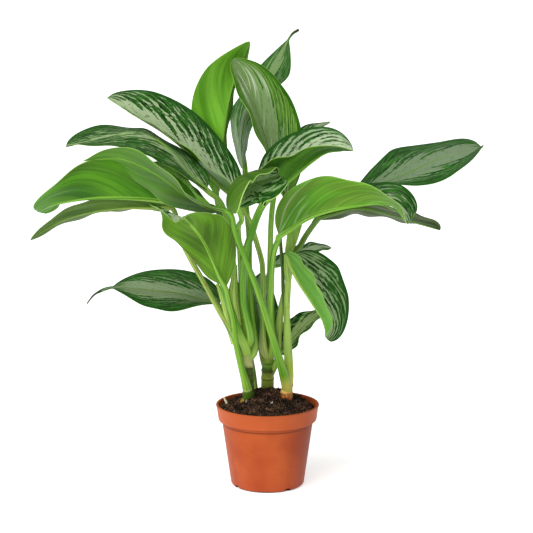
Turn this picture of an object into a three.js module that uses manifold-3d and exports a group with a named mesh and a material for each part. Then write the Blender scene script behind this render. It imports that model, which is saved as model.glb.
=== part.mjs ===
// Potted Chinese evergreen: a tapered nursery pot, its soil, three canes, and leaves that each
// run from a sheath on their cane through a leaf stalk to a waved blade.
// Millimetres, +Z up. The origin is the centre of the pot's flat bottom, -Y is the front.

import * as THREE from 'three';
import { mergeVertices } from 'three/addons/utils/BufferGeometryUtils.js';
import Module from 'manifold-3d';

// ---------------------------------------------------------------- driving dimensions

const POT_HEIGHT = 120;
const RIM_RADIUS = 75;
const BASE_RADIUS = 53;
const WALL = 2.2;
const FLOOR = 2.6;
const ROUNDING = 0.7;
const LIP_WIDTH = 3.4;
const LIP_HEIGHT = 2.4;
const COLLAR_HEIGHT = 26;
const COLLAR_BOTTOM_RADIUS = 71.6;
const STEP_HEIGHT = 6;
const STEP_RADIUS = 67;
const STEP_OVERHANG = 0.8;
const BASE_CHAMFER = 3;
const POT_SIDES = 44;
const NOTCH_COUNT = 4;
const NOTCH_TURN = 33;
const NOTCH_SIZE = { deep: 5, wide: 9, high: 3.4 };

const GAP = 0.3;

const SOIL_SIDES = 30;
const SOIL_RIM_LEVEL = 114;
const SOIL_MOUND = { x: 2, y: 28, height: 20, spread: 34 };
const SOIL_GRAIN = 1.1;
const SOIL_RINGS = [67, 56, 45, 34, 22, 11];
const SOIL_CLEARANCE = 0.6;

// A loose pale root: its axis from the end sunk in the soil, and its radii.
const PALE_ROOT = {
  axis: [[-54, 8, 100], [-57, 11, 112], [-61, 15, 119], [-64, 19, 124]],
  radii: [0.9, 1.5, 1.7, 1.1],
};
const ROOT_SIDES = 8;
const ROOT_STEPS = 6;

const BLADE_THICKNESS = 0.9;
const BLADE_STEPS = 15;
const HALF_COLUMNS = [1, 0.5];
const BLADE_SHAPE = [0.6, 0.8];
// A wave along a blade's edges: its size, how many there are and how far the two edges differ.
const EDGE_WAVE = [2.2, 3.5, 1.1];
const EVEN_SPREAD = [[1, 1, 1], [1, 1, 1]];
const LEAST_HALF_WIDTH = 0.9;
const STALK_SIDES = 6;
const STALK_RADIUS = [4.1, 5.3];
const STALK_STEP = 30;
const STALK_TAPER_END = 0.7;
const SHEATH_SIDES = 8;
const SHEATH_STEPS = 8;
const MIDRIB_REACH = 0.3;
const MIDRIB_RADIUS = 1.1;
const CANE_SIDES = 10;
const CANE_STEPS = 18;
const RING_HEIGHT = 7;
const RING_SWELL = 0.7;

// Each cane: the points of its axis from the foot in the soil up, and the radius at each point.
// Each ring is a leaf scar, where the cane is a little thicker.
const CANES = [
  {
    name: 'cane_left', colour: 0x5f7f35,
    axis: [[-28, 11, 84], [-28, 10, 132], [-28, 10, 160], [-28, 10, 180], [-31, 9, 212], [-35, 8, 250]],
    radii: [8.4, 8.6, 7.4, 6.4, 5.8, 4.8],
    rings: [132, 143, 153, 163, 172],
  },
  {
    name: 'cane_centre', colour: 0x7d9440,
    axis: [[0, 46, 84], [0, 45, 140], [1, 45, 190], [1, 46, 240]],
    radii: [9.4, 9.4, 8.2, 6],
    rings: [147, 159, 171, 186],
  },
  {
    name: 'cane_right', colour: 0x9fb75e,
    axis: [
      [29, 11, 84], [28, 10, 132], [31, 10, 163], [29, 10, 215], [28, 10, 257], [30, 9, 303], [30, 8, 338],
      [35, 8, 360], [40, 8, 384],
    ],
    radii: [8.6, 8.6, 6.9, 5.8, 4.4, 4.6, 5, 8, 10],
    rings: [134, 146, 262],
  },
];

// Each leaf: the direction its blade heads in (degrees, 0 is +X, 90 is +Y), its greatest half
// width, how far its left and right halves are raised (degrees at the base, middle and tip),
// and the points of its stalk, from the root up, and of its midrib, from the base to the tip.
// shape: how quickly the outline fills towards the base and the tip. tail: the share of the
// midrib that runs on as a narrow tail. curl: how far each half bends across (degrees).
// spread: the left and right halves' shares of the width at the base, middle and tip.
// wave: the leaf's own edge wave.
// sheath: the wider hollow-backed foot that some stalks have. stalkRadius: at the top and foot.
const LEAVES = [
  {
    name: 'leaf_upper_left', heading: 180, halfWidth: 53, left: [24, 9, 12], right: [74, 78, 60],
    shape: [0.42, 0.64], stalkRadius: [3.8, 4.5],
    spread: [[1.1, 0.72, 1], [0.87, 0.94, 1.42]],
    stalk: [
      [-1, 42, 180], [-6, 32, 200], [-7, 30, 253], [-6, 35, 284], [-7, 38, 307], [-9, 38, 326],
      [-20, 36, 365], [-29, 35, 389],
    ],
    rib: [[-46, 35, 415], [-94, 38, 463], [-139, 38, 504], [-195, 34, 539], [-230, 38, 561]],
  },
  {
    name: 'leaf_left', heading: 180, halfWidth: 47, left: [10, -26, 19], right: [47, -1, 58],
    shape: [0.42, 0.64],
    spread: [[0.98, 0.99, 0.98], [0.93, 1.21, 1.13]],
    stalk: [[-32, 12, 206], [-38, 17, 224], [-46, 21, 262], [-52, 18, 346], [-64, -4, 410]],
    rib: [[-86, -26, 437], [-107, -30, 459], [-137, -23, 494], [-188, -28, 518], [-284, -20, 497]],
  },
  {
    name: 'leaf_left_front', heading: 180, halfWidth: 50, left: [-5, 20, 55], right: [-25, -40, 5],
    shape: [1.1, 1.25], stalkRadius: [4, 6.2],
    stalk: [
      [29, 9, 138], [25, 0, 159], [7, -22, 224], [-13, -48, 294], [-30, -72, 344], [-45, -90, 388],
    ],
    rib: [[-53, -95, 415], [-99, -92, 433], [-152, -90, 468], [-203, -90, 489], [-252, -90, 486]],
  },
  {
    name: 'leaf_big_left', heading: 185, halfWidth: 56, left: [97, 70, 19], right: [60, 30, -25],
    shape: [0.84, 0.42],
    spread: [[1, 1.31, 1.05], [1, 1, 1]],
    sheath: {
      axis: [
        [-40, 4, 210], [-44, 1, 244], [-48, -1, 270], [-49, -1, 288], [-47, 0, 309], [-45, 1, 325],
      ],
      radii: [4, 6, 6.8, 7.2, 4, 1.2],
    },
    stalk: [[-29, 9, 192], [-33, 4, 206], [-45, -2, 238], [-62, -10, 290], [-78, -19, 364]],
    rib: [[-90, -22, 403], [-142, -25, 421], [-228, -29, 426], [-293, -38, 419], [-323, -35, 407]],
  },
  {
    name: 'leaf_low_left', heading: 180, halfWidth: 31, left: [85, 45, 30], right: [-25, -15, -30],
    shape: [0.55, 0.8], stalkRadius: [3.8, 5.2],
    sheath: {
      axis: [[-49, 12, 206], [-56, 13, 235], [-60, 13, 256], [-66, 13, 277], [-73, 13, 295]],
      radii: [4, 5, 5.4, 4.4, 2],
    },
    stalk: [
      [-29, 10, 150], [-34, 12, 168], [-43, 12, 199], [-56, 13, 230], [-72, 14, 259], [-91, 16, 294],
      [-116, 19, 339], [-129, 22, 372],
    ],
    rib: [[-137, 24, 403], [-191, 26, 406], [-254, 26, 398], [-306, 24, 381], [-342, 20, 358]],
  },
  {
    name: 'leaf_front', heading: 225, halfWidth: 55, left: [38, 52, 11], right: [-8, -50, 50],
    shape: [0.92, 0.51], wave: [4.1, 3.04, 2.22], stalkRadius: [3.6, 5.6],
    spread: [[1.06, 0.84, 0.55], [1.14, 0.54, 1.52]],
    stalk: [
      [-28, 9, 124], [-30, 1, 144], [-38, -4, 176], [-45, -11, 210], [-49, -21, 247],
      [-56, -31, 281],
    ],
    rib: [[-60, -39, 300], [-84, -68, 360], [-103, -105, 397], [-116, -120, 412], [-125, -140, 408]],
  },
  {
    name: 'leaf_low_behind', heading: 180, halfWidth: 46, left: [17, -36, 3], right: [58, 75, 24],
    shape: [0.48, 0.9], leastHalfWidth: 2.4, tail: 0.24, stalkRadius: [2.6, 3.2],
    spread: [[1.06, 0.87, 0.88], [0.8, 0.79, 1.42]],
    stalk: [[-16, 60, 104], [-18, 60, 134], [-23, 62, 168], [-31, 66, 193], [-55, 70, 232]],
    rib: [
      [-71, 72, 251], [-121, 77, 266], [-166, 88, 270], [-229, 97, 273], [-256, 102, 263],
      [-271, 106, 246],
    ],
  },
  {
    name: 'leaf_top_left', heading: -90, halfWidth: 52, left: [66, 85, 71], right: [30, 10, -46],
    shape: [0.9, 0.76],
    stalk: [[-26, 11, 160], [-28, 20, 178], [-37, 31, 224], [-47, 41, 290], [-61, 49, 355]],
    rib: [[-74, 51, 417], [-67, 57, 484], [-55, 62, 558], [-42, 64, 599], [-26, 65, 640]],
  },
  {
    name: 'leaf_top_centre', heading: 100, halfWidth: 53, left: [68, 69, 37], right: [19, 10, 59],
    shape: [0.59, 0.63], stalkRadius: [2.4, 3],
    stalk: [
      [28, 10, 228], [28, 15, 244], [23, 16, 281], [22, 19, 313], [20, 21, 338], [17, 24, 377],
      [15, 25, 398],
    ],
    rib: [[24, 25, 419], [4, 33, 479], [-16, 40, 546], [-30, 44, 585], [-49, 47, 617]],
  },
  {
    name: 'leaf_centre_right', heading: 0, halfWidth: 50, left: [60, 80, 43], right: [85, 41, 22],
    shape: [0.52, 0.7], stalkRadius: [5.2, 4.6],
    stalk: [
      [-27, 8, 206], [-25, 1, 222], [-34, -6, 268], [-35, -17, 308], [-30, -32, 351], [-23, -37, 375],
      [-15, -42, 401],
    ],
    rib: [[-5, -45, 421], [13, -50, 441], [52, -63, 475], [83, -76, 496], [117, -92, 500]],
  },
  {
    name: 'leaf_folded', heading: 47, halfWidth: 52, left: [125, 150, 120], right: [6, -7, -1],
    shape: [0.5, 0.63], curl: [147, 0], stalkRadius: [3.7, 5.2],
    spread: [[1.55, 0.83, 0.73], [0.94, 1.15, 1.19]],
    stalk: [
      [-35, 8, 246], [-37, 3, 290], [-38, -7, 320], [-39, -22, 346], [-41, -55, 387], [-36, -78, 403],
    ],
    rib: [[-41, -100, 424], [-42, -102, 439], [-30, -95, 451], [-3, -89, 460], [15, -77, 464]],
  },
  {
    name: 'leaf_right', heading: 0, halfWidth: 52, left: [56, 21, 74], right: [120, 63, 1],
    shape: [0.44, 0.46], stalkRadius: [4.2, 5.4],
    stalk: [
      [4, 43, 180], [8, 34, 200], [5, 22, 254], [5, 7, 290], [6, -8, 320], [9, -23, 348],
      [15, -37, 367],
    ],
    rib: [[17, -50, 375], [52, -56, 401], [101, -61, 416], [168, -67, 421], [194, -76, 396]],
  },
  {
    name: 'leaf_torn', heading: 0, halfWidth: 38, left: [-35, -20, -5], right: [60, 25, 45],
    shape: [0.65, 0.6], leastHalfWidth: 3, stalkRadius: [3.6, 4],
    stalk: [[30, 8, 318], [33, 10, 335], [48, 14, 352], [56, 18, 365], [65, 22, 378]],
    rib: [[73, 24, 389], [112, 26, 402], [148, 28, 402], [199, 30, 386], [250, 32, 370]],
  },
  {
    name: 'leaf_far_right', heading: 0, halfWidth: 55, left: [79, 26, 12], right: [53, -23, 20],
    shape: [1.03, 0.36], stalkRadius: [4.1, 4], wave: [3.9, 2.06, 1.41],
    spread: [[0.98, 1.43, 1.04], [0.87, 1.06, 1.22]],
    stalk: [[30, 9, 300], [33, 16, 318], [43, 26, 338], [53, 37, 357], [74, 44, 385], [96, 49, 404]],
    rib: [[118, 51, 417], [156, 56, 430], [199, 63, 447], [253, 79, 469], [315, 86, 484]],
  },
  {
    name: 'leaf_top_back', heading: 60, halfWidth: 55, left: [-59, -34, -21], right: [53, 37, 6],
    shape: [0.77, 1.03], leastHalfWidth: 2.2, tail: 0.1,
    spread: [[1.19, 1.51, 0.84], [0.85, 1.17, 1.05]],
    stalk: [
      [-28, 11, 184], [-20, 17, 200], [-25, 26, 262], [-27, 36, 322], [-27, 55, 358],
      [-32, 72, 409],
    ],
    rib: [
      [-33, 85, 450], [-38, 95, 476], [-31, 101, 525], [10, 127, 592], [32, 134, 641], [46, 129, 654],
    ],
  },
  {
    name: 'leaf_behind_right', heading: 15, halfWidth: 28, left: [41, 31, 11], right: [7, -4, -3],
    shape: [0.65, 0.87], stalkRadius: [4, 4.4],
    stalk: [[1, 46, 196], [3, 53, 214], [3, 54, 278], [4, 57, 337], [5, 60, 374], [8, 65, 406]],
    rib: [[14, 73, 434], [28, 87, 464], [48, 98, 490], [71, 108, 510], [93, 117, 519]],
  },
  {
    name: 'leaf_drooping', heading: 0, halfWidth: 53, left: [77, 63, 28], right: [19, 27, 32],
    shape: [0.34, 0.52], stalkRadius: [3.6, 4],
    spread: [[1.07, 1.08, 0.74], [0.82, 1.04, 0.46]],
    stalk: [[29, 8, 302], [27, 4, 318], [27, -3, 334]],
    rib: [[28, -14, 341], [46, -34, 306], [65, -53, 277], [79, -82, 256], [80, -107, 243]],
  },
  {
    name: 'leaf_back_right', heading: 10, halfWidth: 25, left: [46, 15, 22], right: [15, -3, -21],
    shape: [0.76, 0.93], stalkRadius: [2.8, 3.4],
    stalk: [[0, 46, 176], [-3, 54, 195], [-7, 60, 225], [-5, 69, 261], [-2, 75, 286]],
    rib: [[6, 85, 305], [26, 90, 313], [54, 91, 328], [76, 93, 335], [95, 99, 333]],
  },
  {
    name: 'leaf_low_right', heading: 0, halfWidth: 30, left: [63, 37, 2], right: [-34, -5, -39],
    shape: [0.66, 1.16], stalkRadius: [2.8, 3.4],
    sheath: {
      axis: [[18, 42, 191], [17, 40, 208], [17, 38, 227], [19, 36, 251], [21, 34, 275]],
      radii: [3, 4.2, 5.8, 4.5, 1.2],
    },
    stalk: [[6, 45, 154], [13, 42, 172]],
    rib: [[17, 43, 184], [35, 47, 204], [57, 49, 228], [79, 53, 245], [97, 60, 252]],
  },
  {
    name: 'leaf_low_back', heading: 90, halfWidth: 28, left: [19, 17, 23], right: [21, 19, 21],
    shape: [0.6, 0.84], stalkRadius: [2.6, 3],
    stalk: [[0, 46, 146], [-2, 55, 162], [-3, 62, 176]],
    rib: [[-6, 69, 191], [-9, 82, 217], [-12, 95, 247], [-12, 107, 268], [-8, 120, 292]],
  },
  {
    name: 'leaf_small_left', heading: 180, halfWidth: 25, left: [20, 40, 45], right: [30, 30, 30],
    shape: [1, 0.8], stalkRadius: [4, 5.4],
    stalk: [
      [-1, 46, 162], [-6, 45, 184], [-18, 45, 243], [-30, 45, 297], [-44, 40, 352], [-60, 28, 385],
    ],
    rib: [[-79, 18, 406], [-104, 14, 420], [-128, 15, 438], [-153, 15, 457], [-179, 14, 470]],
  },
];

// ---------------------------------------------------------------- solids from geometries

const MERGE_DISTANCE = 1e-4;

const wasm = await Module();
wasm.setup();

function toSolid(geometry) {
  const bare = geometry.index ? geometry.clone() : geometry;
  bare.deleteAttribute('normal');
  bare.deleteAttribute('uv');
  const merged = mergeVertices(bare, MERGE_DISTANCE);
  return new wasm.Manifold(new wasm.Mesh({
    numProp: 3,
    vertProperties: new Float32Array(merged.attributes.position.array),
    triVerts: new Uint32Array(merged.index.array),
  }));
}

function toGeometry(solid) {
  const mesh = solid.getMesh();
  const geometry = new THREE.BufferGeometry();
  geometry.setAttribute('position', new THREE.BufferAttribute(mesh.vertProperties, 3));
  geometry.setIndex(new THREE.BufferAttribute(mesh.triVerts, 1));
  geometry.computeVertexNormals();
  return geometry;
}

function toVectors(points) {
  return points.map((point) => new THREE.Vector3(...point));
}

// A closed skin over rings of equally many points, with a flat cap on each end. The second half
// of each ring is split the other way, so that a thin blade has the same triangles on both faces.
function skin(rings) {
  const count = rings[0].length;
  const positions = rings.flat().flatMap((point) => point.toArray());
  const index = [];
  for (let row = 0; row + 1 < rings.length; row += 1) {
    for (let k = 0; k < count; k += 1) {
      const a = row * count + k;
      const b = row * count + ((k + 1) % count);
      const c = a + count;
      const d = b + count;
      if (k < count / 2) index.push(a, b, d, a, d, c);
      else index.push(a, b, c, b, d, c);
    }
  }
  const half = count / 2;
  for (const [start, turned] of [[0, true], [(rings.length - 1) * count, false]]) {
    for (let k = 0; k + 1 < half; k += 1) {
      const quad = [start + k, start + k + 1, start + count - 2 - k, start + count - 1 - k];
      const [p, q, r, s] = turned ? quad.reverse() : quad;
      index.push(p, q, r, p, r, s);
    }
  }
  const geometry = new THREE.BufferGeometry();
  geometry.setAttribute('position', new THREE.Float32BufferAttribute(positions, 3));
  geometry.setIndex(index);
  return geometry;
}

// A round bar along a curve, whose radius is a function of the share of its length.
function bar(curve, radiusAt, sides, steps) {
  const frames = curve.computeFrenetFrames(steps, false);
  const rings = [];
  for (let i = 0; i <= steps; i += 1) {
    const centre = curve.getPointAt(i / steps);
    const radius = radiusAt(i / steps);
    const ring = [];
    for (let k = 0; k < sides; k += 1) {
      const angle = (2 * Math.PI * k) / sides;
      ring.push(centre.clone()
        .addScaledVector(frames.normals[i], radius * Math.cos(angle))
        .addScaledVector(frames.binormals[i], radius * Math.sin(angle)));
    }
    rings.push(ring);
  }
  return skin(rings);
}

function smoothCurve(points) {
  return new THREE.CatmullRomCurve3(toVectors(points), false, 'catmullrom', 0.5);
}

// A round bar that rises along the points of an axis, with a radius at each point.
function taper({ axis, radii }, extra, sides, steps, swellAt = () => 0) {
  const points = axis.map(([x, y, z], i) => [x, y, i === 0 ? z - extra : z]);
  const curve = smoothCurve(points);
  const radiusAt = (t) => {
    const z = curve.getPointAt(t).z;
    const above = points.findIndex((point) => point[2] > z);
    const i = above < 0 ? points.length - 1 : Math.max(above, 1);
    const share = THREE.MathUtils.clamp((z - points[i - 1][2]) / (points[i][2] - points[i - 1][2]), 0, 1);
    return THREE.MathUtils.lerp(radii[i - 1], radii[i], share) + swellAt(z) + extra;
  };
  return toSolid(bar(curve, radiusAt, sides, steps));
}

// A smooth value through three stations: at 0, at a half and at 1.
function through([start, middle, end], t) {
  return start * (1 - t) * (1 - 2 * t) + middle * 4 * t * (1 - t) + end * t * (2 * t - 1);
}

// ---------------------------------------------------------------- pot and soil

function potWallRadius(z) {
  const top = POT_HEIGHT - COLLAR_HEIGHT - STEP_HEIGHT;
  return BASE_RADIUS + ((STEP_RADIUS - STEP_OVERHANG - BASE_RADIUS) * z) / top;
}

function makePot() {
  const stepTop = POT_HEIGHT - COLLAR_HEIGHT;
  const stepBottom = stepTop - STEP_HEIGHT;
  const profile = [
    [0, 0],
    [BASE_RADIUS - BASE_CHAMFER, 0],
    [potWallRadius(BASE_CHAMFER), BASE_CHAMFER],
    [STEP_RADIUS - STEP_OVERHANG, stepBottom],
    [STEP_RADIUS, stepBottom + STEP_OVERHANG],
    [STEP_RADIUS, stepTop - 2 * ROUNDING],
    [COLLAR_BOTTOM_RADIUS - ROUNDING, stepTop - ROUNDING],
    [COLLAR_BOTTOM_RADIUS, stepTop],
    [RIM_RADIUS - ROUNDING, POT_HEIGHT - LIP_HEIGHT],
    [RIM_RADIUS, POT_HEIGHT - LIP_HEIGHT + ROUNDING],
    [RIM_RADIUS, POT_HEIGHT - ROUNDING],
    [RIM_RADIUS - ROUNDING, POT_HEIGHT],
    [RIM_RADIUS - LIP_WIDTH, POT_HEIGHT],
    [RIM_RADIUS - LIP_WIDTH - ROUNDING / 2, POT_HEIGHT - ROUNDING],
    [COLLAR_BOTTOM_RADIUS - WALL, stepTop + WALL],
    [STEP_RADIUS - WALL, stepTop],
    [BASE_RADIUS - WALL, FLOOR],
    [0, FLOOR],
  ].map(([r, z]) => new THREE.Vector2(r, z));
  let pot = toSolid(new THREE.LatheGeometry(profile, POT_SIDES).rotateX(Math.PI / 2));
  for (let i = 0; i < NOTCH_COUNT; i += 1) {
    const box = new THREE.BoxGeometry(NOTCH_SIZE.deep * 2, NOTCH_SIZE.wide, NOTCH_SIZE.high * 2);
    box.translate(BASE_RADIUS, 0, 0);
    box.rotateZ(THREE.MathUtils.degToRad(NOTCH_TURN + (i * 360) / NOTCH_COUNT));
    pot = pot.subtract(toSolid(box));
  }
  return pot;
}

// A fixed scatter between -1 and 1 for a place in the soil.
function scatter(x, y) {
  return Math.sin(x * 1.9 + y * 0.7) * Math.cos(y * 2.3 - x * 1.1);
}

function soilHeight(x, y) {
  const away = ((x - SOIL_MOUND.x) ** 2 + (y - SOIL_MOUND.y) ** 2) / (2 * SOIL_MOUND.spread ** 2);
  return SOIL_RIM_LEVEL + SOIL_MOUND.height * Math.exp(-away);
}

function makeSoil() {
  const bottom = FLOOR + GAP;
  const stepTop = POT_HEIGHT - COLLAR_HEIGHT;
  const inner = WALL + SOIL_CLEARANCE;
  const edgeRise = (RIM_RADIUS - LIP_WIDTH - COLLAR_BOTTOM_RADIUS + WALL) / COLLAR_HEIGHT;
  const edge = COLLAR_BOTTOM_RADIUS - inner + edgeRise * (SOIL_RIM_LEVEL - stepTop);
  const profile = [
    [0, bottom],
    [BASE_RADIUS - inner, bottom],
    [STEP_RADIUS - inner, stepTop],
    [COLLAR_BOTTOM_RADIUS - inner, stepTop + WALL],
    [edge, SOIL_RIM_LEVEL - SOIL_GRAIN],
    ...SOIL_RINGS.map((r) => [r, SOIL_RIM_LEVEL]),
    [0, SOIL_RIM_LEVEL],
  ].map(([r, z]) => new THREE.Vector2(r, z));
  const geometry = new THREE.LatheGeometry(profile, SOIL_SIDES).rotateX(Math.PI / 2);
  const position = geometry.attributes.position;
  for (let i = 0; i < position.count; i += 1) {
    const x = position.getX(i);
    const y = position.getY(i);
    if (position.getZ(i) > SOIL_RIM_LEVEL - GAP) {
      position.setZ(i, soilHeight(x, y) + SOIL_GRAIN * scatter(x, y));
    }
  }
  return toSolid(geometry);
}

// ---------------------------------------------------------------- canes

function makeCane(cane, extra) {
  const swellAt = (z) => (cane.rings.some((level) => Math.abs(level - z) < RING_HEIGHT) ? RING_SWELL : 0);
  return taper(cane, extra, CANE_SIDES, CANE_STEPS, swellAt);
}

// ---------------------------------------------------------------- leaves

function bladeSection(leaf, curve, t) {
  const heading = THREE.MathUtils.degToRad(leaf.heading);
  const along = curve.getTangentAt(t);
  const side = new THREE.Vector3(-Math.sin(heading), Math.cos(heading), 0);
  side.addScaledVector(along, -side.dot(along)).normalize();
  const up = along.clone().cross(side);
  const [base, tip] = leaf.shape ?? BLADE_SHAPE;
  const share = Math.min(t / (1 - (leaf.tail ?? 0)), 1);
  const widest = base / (base + tip);
  const fullness = (share ** base * (1 - share) ** tip) / (widest ** base * (1 - widest) ** tip);
  return { centre: curve.getPointAt(t), side, up, fullness };
}

// A point of the blade: t runs from its base to its tip, s from -1 on the right edge to 1 on the left.
function bladePoint(leaf, section, t, s) {
  const hand = s < 0 ? -1 : 1;
  const reach = Math.abs(s);
  const curl = (leaf.curl ?? [0, 0])[s < 0 ? 1 : 0];
  const raise = through(s < 0 ? leaf.right : leaf.left, t) + (curl * (reach - 1)) / 2;
  const angle = THREE.MathUtils.degToRad(raise);
  const spread = Math.max(through((leaf.spread ?? EVEN_SPREAD)[s < 0 ? 1 : 0], t), 0);
  const width = leaf.halfWidth * section.fullness * spread + (leaf.leastHalfWidth ?? LEAST_HALF_WIDTH);
  const [size, count, lag] = leaf.wave ?? EDGE_WAVE;
  const wave = size * section.fullness * reach * reach
    * Math.sin(2 * Math.PI * count * t + hand * lag + leaf.heading);
  return section.centre.clone()
    .addScaledVector(section.side, hand * (width * reach * Math.cos(angle) - wave * Math.sin(angle)))
    .addScaledVector(section.up, width * reach * Math.sin(angle) + wave * Math.cos(angle));
}

function bladeGeometry(leaf, curve) {
  const columns = [...HALF_COLUMNS, 0, ...HALF_COLUMNS.map((s) => -s).reverse()];
  const grid = [];
  for (let i = 0; i <= BLADE_STEPS; i += 1) {
    const t = i / BLADE_STEPS;
    const section = bladeSection(leaf, curve, t);
    grid.push(columns.map((s) => bladePoint(leaf, section, t, s)));
  }
  const last = columns.length - 1;
  const rings = grid.map((row, i) => {
    const ahead = grid[Math.min(i + 1, BLADE_STEPS)];
    const behind = grid[Math.max(i - 1, 0)];
    const lift = row.map((point, j) => {
      const down = ahead[j].clone().sub(behind[j]);
      const across = row[Math.max(j - 1, 0)].clone().sub(row[Math.min(j + 1, last)]);
      return down.cross(across).normalize().multiplyScalar(BLADE_THICKNESS / 2);
    });
    const top = row.map((point, j) => point.clone().add(lift[j]));
    const under = row.map((point, j) => point.clone().sub(lift[j])).reverse();
    return [...top, ...under];
  });
  return skin(rings);
}

// The stalk, from its root to where it has run out along the blade's midrib.
function makeStalk(leaf, extra) {
  const rib = smoothCurve(leaf.rib);
  const ribStart = [0, MIDRIB_REACH / 2, MIDRIB_REACH].map((t) => rib.getPointAt(t).toArray());
  const [x, y, z] = leaf.stalk[0];
  const curve = smoothCurve([[x, y, z - extra], ...leaf.stalk.slice(1), ...ribStart]);
  const length = curve.getLength();
  const bladeShare = (MIDRIB_REACH * rib.getLength()) / length;
  const [top, foot] = leaf.stalkRadius ?? STALK_RADIUS;
  const radiusAt = (t) => {
    const free = t / (1 - bladeShare);
    if (free < 1) return THREE.MathUtils.lerp(foot, top, Math.min(free / STALK_TAPER_END, 1)) + extra;
    return THREE.MathUtils.lerp(top, MIDRIB_RADIUS, (t - 1 + bladeShare) / bladeShare) + extra;
  };
  const steps = Math.ceil(length / STALK_STEP) + 2;
  return toSolid(bar(curve, radiusAt, STALK_SIDES, steps));
}

function makeLeaf(leaf) {
  let solid = makeStalk(leaf, 0).add(toSolid(bladeGeometry(leaf, smoothCurve(leaf.rib))));
  if (leaf.sheath) solid = solid.add(taper(leaf.sheath, 0, SHEATH_SIDES, SHEATH_STEPS));
  return solid;
}

// ---------------------------------------------------------------- the assembly

const plant = new THREE.Group();

function addNode(name, solid, colour, roughness) {
  const material = new THREE.MeshStandardMaterial({ color: colour, roughness, metalness: 0 });
  const mesh = new THREE.Mesh(toGeometry(solid), material);
  mesh.name = name;
  plant.add(mesh);
}

const COLOURS = { pot: 0xc8683e, soil: 0x33241c, leaf: 0x4f8f2f, paleRoot: 0xd8cf9f };
const ROUGHNESS = { pot: 0.55, soil: 1, leaf: 0.45, cane: 0.6 };

addNode('pot', makePot(), COLOURS.pot, ROUGHNESS.pot);

let soil = makeSoil();
const caneClearances = [];
for (const cane of CANES) {
  const clearance = makeCane(cane, GAP);
  caneClearances.push(clearance);
  soil = soil.subtract(clearance);
  addNode(cane.name, makeCane(cane, 0), cane.colour, ROUGHNESS.cane);
}

for (const leaf of LEAVES) {
  let solid = makeLeaf(leaf);
  for (const clearance of caneClearances) solid = solid.subtract(clearance);
  addNode(leaf.name, solid, COLOURS.leaf, ROUGHNESS.leaf);
  if (leaf.stalk[0][2] < SOIL_RIM_LEVEL) soil = soil.subtract(makeStalk(leaf, GAP));
}

soil = soil.subtract(taper(PALE_ROOT, GAP, ROOT_SIDES, ROOT_STEPS));
addNode('pale_root', taper(PALE_ROOT, 0, ROOT_SIDES, ROOT_STEPS), COLOURS.paleRoot, ROUGHNESS.cane);
addNode('soil', soil, COLOURS.soil, ROUGHNESS.soil);

export default plant;
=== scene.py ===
import math
import random

import bpy
import numpy as np
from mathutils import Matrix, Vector


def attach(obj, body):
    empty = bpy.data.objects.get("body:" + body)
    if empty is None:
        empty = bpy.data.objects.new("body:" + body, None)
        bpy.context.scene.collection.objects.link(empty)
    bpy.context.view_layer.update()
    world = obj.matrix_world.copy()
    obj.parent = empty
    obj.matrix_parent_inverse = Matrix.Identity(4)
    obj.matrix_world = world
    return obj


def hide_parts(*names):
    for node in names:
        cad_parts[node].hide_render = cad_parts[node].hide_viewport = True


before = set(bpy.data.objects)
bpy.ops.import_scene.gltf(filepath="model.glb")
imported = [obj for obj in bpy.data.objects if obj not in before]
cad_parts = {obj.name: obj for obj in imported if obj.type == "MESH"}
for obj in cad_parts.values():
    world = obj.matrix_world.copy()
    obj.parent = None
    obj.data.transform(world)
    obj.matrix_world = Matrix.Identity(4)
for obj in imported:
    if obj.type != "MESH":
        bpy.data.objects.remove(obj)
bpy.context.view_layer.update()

# ---- sizes, in millimetres

MM = 0.001

POT_HEIGHT = 120
RIM_RADIUS = 75
COLLAR_RADIUS = 71.6
COLLAR_BOTTOM = 98
STEP_RADIUS = 67
STEP_BOTTOM = 93
BASE_RADIUS = 53
WALL = 2.2
FLOOR = 2.6
POT_SIDES = 160
NOTCHES = 4
NOTCH_START = 33  # degrees round from the right
NOTCH_BLOCK = (5, 4.5, 4.8)  # half the block that cuts a notch: inwards, across and up
AXIS = 0.001  # the innermost radius of the turned profile

SOIL_LEVEL = 114
SOIL_MOUND = (2, 28, 20, 34)  # x and y of its top, its height and its spread
SOIL_WALL_DIP = (2.2, 42, 68)  # how much lower it lies at the wall, from and to which radius
SOIL_RIGHT_DIP = (2.4, 30, 66)  # and at the right, from and to which x
SOIL_FADE = (0.6, 60, 70)  # how much its clods fade at the wall, from and to which radius
SOIL_ROUGH = ((1.7, 9, 1), (1.4, 4, 2), (1.1, 1.9, 4))  # height, size and seed of its clods
SOIL_SIDES, SOIL_RINGS = 220, 74
SOIL_GAP = 0.6  # clear of the pot's wall
SOIL_EDGE = 0.7  # how far the wall has leaned out where the soil meets it
CRUMBS = 2400
CRUMB_REACH = 68
CRUMB_SIZE = (0.5, 1.5)
CRUMB_SEED = 7
FEW_SCRAPS = 0.25  # of brown paper on a cane

BLADE_ROWS, BLADE_HALF = 84, 17  # rows along a blade, and columns from its edge to its rib
BLADE_THICKNESS = 0.8
BLADE_SHAPE = (0.6, 0.8)
EDGE_WAVE = (2.2, 3.5, 1.1)  # height, waves along the blade, and lag of one edge
EVEN_SPREAD = ((1, 1, 1), (1, 1, 1))
LEAST_HALF_WIDTH = 0.9
GROOVE_DEPTH, GROOVE_REACH = 0.9, 2.2
TEAR_DEPTH, TEAR_START = 7, 0.95  # of leaf_torn's tip
VEIN_SPACING = 8.0
VEIN_SWEEP = 0.5  # how far a vein runs forward, as a share of the rib
VEINS_PER_BAND = 2.7
VEIN_QUILT, BROAD_QUILT, FINE_QUILT = 0.2, 1.9, 0.3
STALK_GRID, SHEATH_GRID, CANE_GRID, ROOT_GRID = (18, 90), (24, 40), (40, 150), (14, 30)  # sides and steps
STALK_RADIUS = (4.1, 5.3)  # at the blade and at the foot
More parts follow.
